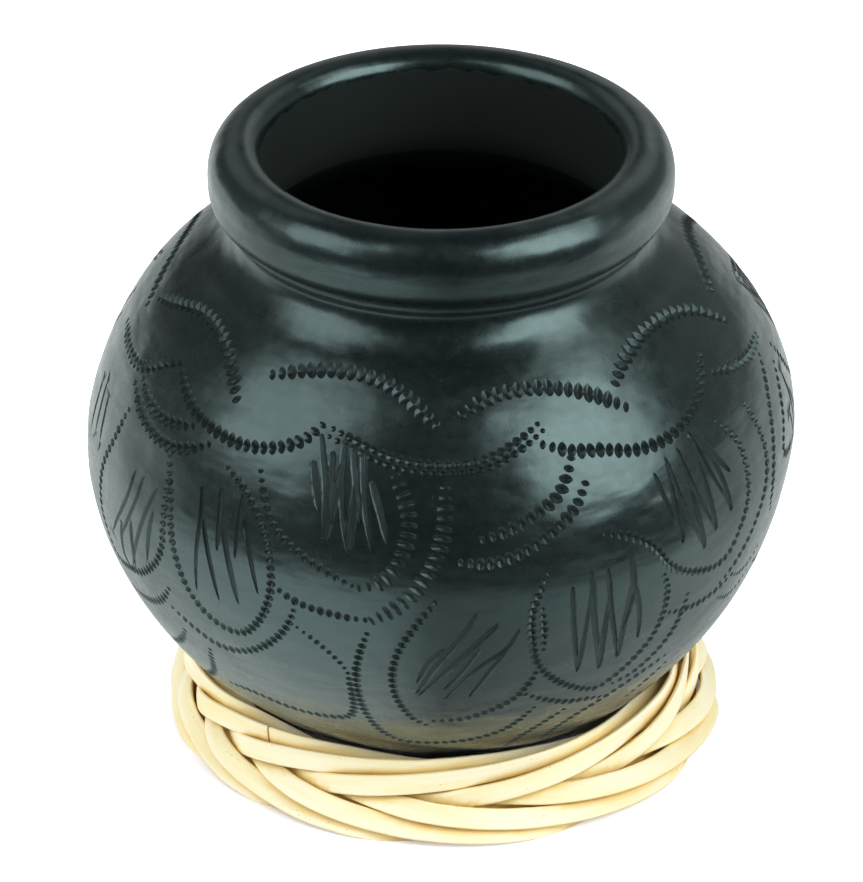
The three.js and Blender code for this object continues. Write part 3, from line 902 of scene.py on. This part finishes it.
vase_mesh.normals_split_custom_set(shade.tolist())
print(int(inside.sum()), "corners inside marks")

# %% Marks for the finish
DENT_SHARE, STROKE_SHARE = 0.8, 0.6  # how much of the bare clay shows in a dent and on a stroke's edge
GROOVE_SHIFT = 3.7  # so that no two strokes have the same scratches
scored_share, groove_place = np.zeros(len(loop_point)), np.zeros(len(loop_point))
for number, (line, half, aside, depth) in enumerate(stroke_lines):
    here = loop_owner == number + len(flat_dents)
    side = across_stroke(flat_of[loop_point[here]], line, half)
    scored_share[here] = steep_share(side)
    groove_place[here] = side * half.max() + GROOVE_SHIFT * number
pressed_share = inside * np.where(loop_owner < len(flat_dents), DENT_SHARE, STROKE_SHARE)
for name, values in (("pressed", pressed_share), ("scored", scored_share), ("groove", groove_place)):
    keep_on(vase_mesh, name, values, "CORNER")
vase_mesh.materials.append(clay)
vase = new_object("vase_body", vase_mesh)
print("vase:", int((sides - 2).sum()), "triangles")

# %% [markdown]
# ## The plaited ring
# Nine strips of cane swing from the top edge of the ring to its foot and back, each over and under its
# neighbours; together they come to the top twelve times a turn. The course repeats the rule of the solids: a
# cosine for the swing, a few waves for the layers, a few for the roll of the strip's face. A strip could be
# swept in code, but a curve with its own normals and a section that follows it is just what Geometry Nodes'
# Curve to Mesh gives.

# %% Course of a strip
STRIPS, PASSES, WIDTH, THICKNESS, LAYER = 9, 12, 2.5, 0.55, 0.95
WAVES = PASSES / STRIPS
SWING = 1.78 * WIDTH
LEAN = math.radians(26)
FOOT_CUT = 0.5
BAND_MIDDLE = (SWING + WIDTH / 2) * math.cos(LEAN) - FOOT_CUT
LIFT, ROLL = ((2, 1.64), (4, -0.21), (6, 0.41)), ((1, 1.28), (3, 0.65), (5, 0.37))
START, UNEVEN, UNEVEN_AXIS = map(math.radians, (-106.5, 8, -107))
SHOWN_END, HIDDEN_END = -0.075, 0.125  # where strips end, as a share of a wave
END_TRIM = 0.2 / (TURN * 33)  # 0.2 mm at each end, as a share of a turn


def waves_of(pairs, phase):
    return sum(size * np.sin(order * phase) for order, size in pairs)


def course(strip, turn, radius):
    """Middle line of a strip, and how far its swing has come."""
    phase = TURN * (WAVES * turn + strip / STRIPS)
    even = TURN * turn + START
    angle = even - UNEVEN * np.cos(2 * (even - UNEVEN_AXIS))
    up, out = SWING * np.cos(phase), -LAYER * waves_of(LIFT, phase)
    r = radius - up * math.sin(LEAN) + out * math.cos(LEAN)
    z = BAND_MIDDLE + up * math.cos(LEAN) + out * math.sin(LEAN)
    return np.column_stack([r[:, None] * round_about(angle), z]), phase


def start_of(strip):
    """Turn at which a strip starts. The first one starts in sight, the others on the far side from there."""
    shown = SHOWN_END / WAVES
    if strip == 0:
        return shown
    phase = WAVES * (shown + 0.5) + strip / STRIPS
    hidden = HIDDEN_END + math.floor((phase - HIDDEN_END) * 2 + 0.5) / 2
    return shown + 0.5 + (hidden - phase) / WAVES


def strip_path(strip, radius, per_turn, small=1e-4):
    """Middle line, outward directions and sideways directions of a strip."""
    first, last = start_of(strip) + END_TRIM, start_of((strip + PASSES) % STRIPS) + 1 - END_TRIM
    turn = np.linspace(first, last, int((last - first) * per_turn) + 1)
    here, phase = course(strip, turn, radius)
    ahead = unit(course(strip, turn + small, radius)[0] - course(strip, turn - small, radius)[0])
    facing = unit(here * [1, 1, 0]) * math.cos(LEAN) + [0, 0, math.sin(LEAN)]
    level = unit(np.cross(ahead, facing))
    roll = np.arctan(LAYER / WIDTH * waves_of(ROLL, phase))[:, None]
    side = level * np.cos(roll) - np.cross(ahead, level) * np.sin(roll)
    return here, np.cross(side, ahead), side


# %% Radius of the ring
SEAT = 0.3  # between the bowl and the ring that carries it
TRIAL_STEPS = 46  # in one turn
wall_slope = np.gradient(wall[:, 0], wall[:, 1])
short = []
for strip in range(STRIPS):
    here, out, side = strip_path(strip, BELLY, TRIAL_STEPS)
    for half in (-WIDTH / 2, WIDTH / 2):
        corner = here + side * half - out * THICKNESS / 2
        corner = corner[corner[:, 2] > STANDOFF]
        depth = np.clip((belly_height - corner[:, 2]) / BOWL_DEPTH, 0, 1)
        bowl_r = BELLY * (1 - depth ** BOWL_POWER) ** (1 / BOWL_POWER)
        lean_in = np.interp(corner[:, 2] - belly_height, wall[:, 1], wall_slope)
        short.append((bowl_r + SEAT * np.hypot(1, lean_in) - np.hypot(corner[:, 0], corner[:, 1])).max())
RING_RADIUS = BELLY + max(short)
print(f"ring radius {RING_RADIUS:.2f} mm")

# %% The tree that sweeps a strip
bench, given = shape_tree("cane strip", {
    "Width": "Float", "Thickness": "Float", "Crown": "Float", "Unevenness": "Float", "Strip": "Int",
    "Cane": "Material"})


def keep(shape, name, value):
    return node("GeometryNodeStoreNamedAttribute", {"Geometry": shape, "Name": name, "Value": value},
                data_type="FLOAT", domain="POINT")


def rounded(value, power):
    return bench.math("SIGN", value) * bench.math("ABSOLUTE", value) ** power


spline = node("GeometryNodeMeshToCurve", {"Mesh": given["Geometry"]})
facing = node("GeometryNodeSetCurveNormal", {"Curve": spline, "Normal": stored("facing")}, mode="FREE")
length = node("GeometryNodeSplineParameter", out="Length")
circle = node("GeometryNodeCurvePrimitiveCircle", {"Resolution": 16, "Radius": 1.0})
x, y, _ = parts(node("GeometryNodeInputPosition"))
wide, thick = rounded(x, 0.45), rounded(y, 0.5)
section = vector(thick * given["Thickness"] * 0.5 - wide * wide * given["Crown"] * (0.5 + thick * 0.5),
                 wide * given["Width"] * 0.5)
section = node("GeometryNodeSetPosition", {
    "Geometry": keep(keep(circle, "across", wide), "outer", thick), "Position": section})
wander = node("ShaderNodeTexNoise", {
    "W": length * 140.0 + given["Strip"] * 9.7, "Scale": 1.0, "Detail": 1.0}, noise_dimensions="1D")
swept = node("GeometryNodeCurveToMesh", {
    "Curve": keep(facing, "along", length), "Profile Curve": section, "Fill Caps": True,
    "Scale": 1.0 + (wander - 0.5) * given["Unevenness"]})
x, y, z = parts(node("GeometryNodeInputPosition"))
outwards = node("GeometryNodeFlipFaces", {"Mesh": swept})
trimmed = node("GeometryNodeSetPosition", {
    "Geometry": outwards, "Position": vector(x, y, bench.math("MAXIMUM", z, 0.0))})
end_tree(keep(trimmed, "strip", given["Strip"]), given["Cane"])
print("strip tree:", len(bench.tree.nodes), "nodes")

# %% Nine strips
LOOSE, STRIP_STEPS = 0.15, 230  # play round the bowl, and steps in one turn
PULL, MORE_PULL, PULL_SIDE = 0.3, 1.5, math.radians(-150)  # the foot is pulled in, most at the front left
PULL_HEIGHT = 8
SHARP = math.radians(50)
# the strips are broader and softer than their solids
SECTION = {"Width": 2.75 * MM, "Thickness": 0.6 * MM, "Crown": 0.1 * MM, "Unevenness": 0.10}
strips = []
for strip in range(STRIPS):
    here, out, side = strip_path(strip, RING_RADIUS + LOOSE, STRIP_STEPS)
    round_turn = np.arctan2(here[:, 1], here[:, 0])
    pull = PULL + MORE_PULL * np.maximum(0, np.cos(round_turn - PULL_SIDE)) ** 2
    pull *= np.clip(1 - here[:, 2] / PULL_HEIGHT, 0, 1)
    here[:, :2] -= pull[:, None] * round_about(round_turn)
    line = bpy.data.meshes.new("strip_path")
    line.from_pydata((here * MM).tolist(), [(i, i + 1) for i in range(len(here) - 1)], [])
    keep_on(line, "facing", out)
    mesh = run_tree(line, bench.tree, {**SECTION, "Strip": strip, "Cane": cane})
    mesh.shade_smooth()
    mesh.set_sharp_from_angle(angle=SHARP)
    piece = new_object(f"cane_strip_{strip + 1}", mesh)
    strips.append(piece)
    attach(piece, "ring")
    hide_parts(f"ring_strip_{strip + 1}")
print(STRIPS, "strips,", sum(len(piece.data.polygons) for piece in strips), "faces")

# %% [markdown]
# In the plait the cane is painted darker and more golden the more other strips cover it: painted shade, with
# the golden light bounced between strips. To know which is where, a handful of rays goes out from every
# point;
# the share that meets another strip is kept on it.

# %% How deep in the plait
RAYS, SPREAD = 10, 0.95
OFF_SKIN, RAY_LENGTH = 0.03 * MM, 5 * MM
all_points, all_faces = [], []
for piece in strips:
    start = len(all_points)
    all_points += [tuple(v.co) for v in piece.data.vertices]
    all_faces += [[start + i for i in face.vertices] for face in piece.data.polygons]
plait = BVHTree.FromPolygons(all_points, all_faces)
k = np.arange(RAYS) + 0.5
lift, spin = 1 - 2 * k / RAYS, k * math.pi * (3 - math.sqrt(5))
flat = np.sqrt(1 - lift ** 2)
ways = np.column_stack([flat[:, None] * round_about(spin), lift]) * SPREAD
for piece in strips:
    facing = read(piece.data.vertex_normals, "vector")
    origins = (read(piece.data.vertices, "co") + facing * OFF_SKIN).tolist()
    met = np.zeros(len(origins))
    for way in ways:
        rays = unit(facing + way).tolist()
        met += [plait.ray_cast(o, r, RAY_LENGTH)[0] is not None for o, r in zip(origins, rays)]
    # the covered share is kept for the painted shade in the cane's colour
    keep_on(piece.data, "plait_shade", met / RAYS)
print(f"covered share of the last strip: {met.mean() / RAYS:.2f}")

# %% The vase takes the place of its solid
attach(vase, "vase")
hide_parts("vase")
print("vase stands", round(min(v.co.z for v in vase.data.vertices) / MM, 2), "mm over the table")

# %% [markdown]
# ## Table, light and camera
# The photo has a pure white ground, two large soft lights above at the left and the right, a small one at
# the back, and a dark room behind the camera. The ground is white because of its own colour and a little glow
# that only shows to the camera and in reflections; the object's shadow still falls on it. In reflections the
# ground is painted brighter to the left and the front, like a lit floor, and tinted teal, a painted
# reflection;
# inside the ring there is no glow, so that the shade there stays dark.

# %% White ground
GROUND_HALF = 6
ground_stuff = bpy.data.materials.new("white_ground")
bench = bench_for(ground_stuff)
to_camera, to_gloss = ray_kinds()
spot = node("ShaderNodeTexCoord", out="Object")
away = node("ShaderNodeVectorMath", {0: spot}, "Value", operation="LENGTH")
x, y, _ = parts(spot)
side, front = x / away, 0.0 - y / away
to_left, to_right, to_front, to_back = [bench.math("MAXIMUM", value, 0.0) for value in
                                        (0.0 - side, side, front, 0.0 - front)]
# painted light: seen only in reflections, the ground is brighter to the left and the front, like a lit floor,
# and darker away from the pot
lit = 0.36 + (to_left + to_right) * 0.6
lit = lit + to_left * (to_front * 2.0 + to_back * 1.5) + to_right * to_back * 0.7
painted_floor_light = lit * (1.0 - ramp(away, 0.09, 0.24) * (0.25 + ramp(front, -0.2, 0.3) * 0.7))
dim = 1.0 + to_gloss * (painted_floor_light - 1.0)
grey = bench.math("MINIMUM", dim * 0.86, 1.0)
paper_colour = node("ShaderNodeCombineColor", {"Red": grey, "Green": grey, "Blue": grey})
paper = node("ShaderNodeBsdfDiffuse", {"Color": paper_colour})
# in reflections the glow is tinted teal, a painted reflection colour; inside the ring it is left out, so that
# the shade there stays dark
glow = to_camera * 0.78 + to_gloss * painted_floor_light * 0.2
glow = node("ShaderNodeEmission", {
    "Color": mix(to_gloss, (1, 1, 1, 1), (0.74, 1, 1, 1)), "Strength": glow * ramp(away, 0.031, 0.038)})
both = node("ShaderNodeAddShader", {0: paper, 1: glow})
node("ShaderNodeOutputMaterial", {"Surface": both})
mesh = bpy.data.meshes.new("ground")
ground_corners = [(x * GROUND_HALF, y * GROUND_HALF, 0) for x, y in ((-1, -1), (1, -1), (1, 1), (-1, 1))]
mesh.from_pydata(ground_corners, [], [(0, 1, 2, 3)])
mesh.materials.append(ground_stuff)
ground = new_object("ground", mesh)
print("ground:", len(bench.tree.nodes), "nodes")

# %% [markdown]
# The room is dim but for a white wall behind the pot, two grey walls beside it and their lit corners, which
# all show in the black clay. Cane is matt and pale, so for it the room is a soft fill, brighter on the left.

# %% Dim room
world = bpy.data.worlds.new("room")
scene.world = world
bench = bench_for(world)
to_camera, to_gloss = ray_kinds()
right, deep_in, rise = parts(node("ShaderNodeTexCoord", out="Generated"))
lean = bench.math("MINIMUM", right, 0.2) * 0.8
back_wall = (1.0 - ramp(rise - lean, 0.12, 0.62)) * ramp(deep_in, -0.1, 0.7)
back_wall = back_wall * (1.0 - ramp(right, 0.2, 0.65) * 0.65)
aside = bench.math("ABSOLUTE", right)
side_wall = ramp(aside, 0.35, 0.95) * (1.0 - ramp(rise, 0.3, 0.8))
room_corners = ramp(aside, 0.02, 0.25) * (1.0 - ramp(aside, 0.4, 0.75)) * ramp(deep_in, 0.2, 0.5)
room_corners = room_corners * ramp(rise, 0.25, 0.48) * (1.0 - ramp(rise, 0.65, 0.9))
shown = 0.02 + back_wall * 0.46 + side_wall * 0.14 + room_corners * 0.45
fill = 0.3 + ramp(0.0 - right, -0.3, 0.8) * 0.7
strength = to_camera + (1.0 - to_camera) * (fill + to_gloss * (shown - fill))
sky = node("ShaderNodeBackground", {"Color": (1, 1, 1, 1), "Strength": strength})
node("ShaderNodeOutputWorld", {"Surface": sky})
print("room:", len(bench.tree.nodes), "nodes")

# %% Soft lights
LIGHT_AIM, LIGHT_DISTANCE = 0.04, 1.2


def soft_light(name, azimuth, elevation, wide, high, radiance):
    """A lamp aimed at the pot. Azimuth 0 is towards the camera, 90 to the right of the picture."""
    lamp = bpy.data.lights.new(name, "AREA")
    lamp.shape, lamp.size, lamp.size_y = "RECTANGLE", wide, high
    lamp.energy = math.pi * wide * high * radiance
    obj = new_object(name, lamp)
    a, e = math.radians(azimuth), math.radians(elevation)
    level = LIGHT_DISTANCE * math.cos(e)
    obj.location = (level * math.sin(a), -level * math.cos(a), LIGHT_AIM + LIGHT_DISTANCE * math.sin(e))
    obj.rotation_euler = (math.pi / 2 - e, 0, a)
    print(f"{name}: {lamp.energy:.1f} W")


soft_light("left_soft_light", -67, 38, 0.80, 0.98, 2.3)
soft_light("right_soft_light", 57, 34, 0.85, 1.0, 4.2)
soft_light("back_soft_light", 97, 57, 0.40, 0.30, 2.2)

# %% Camera
DISTANCE, AIM_RIGHT, AIM_UP = 0.9, -0.00119, 0.03772
down = math.radians(30.43)
lens = bpy.data.cameras.new("camera")
lens.lens, lens.sensor_width, lens.sensor_fit = 294.1, 36.0, "AUTO"
lens.clip_start = 0.05
camera = new_object("camera", lens)
camera.location = (AIM_RIGHT, -DISTANCE * math.cos(down), AIM_UP + DISTANCE * math.sin(down))
camera.rotation_euler = (math.pi / 2 - down, 0, 0)
scene.camera = camera
print("camera at", [round(v, 3) for v in camera.location], "m")
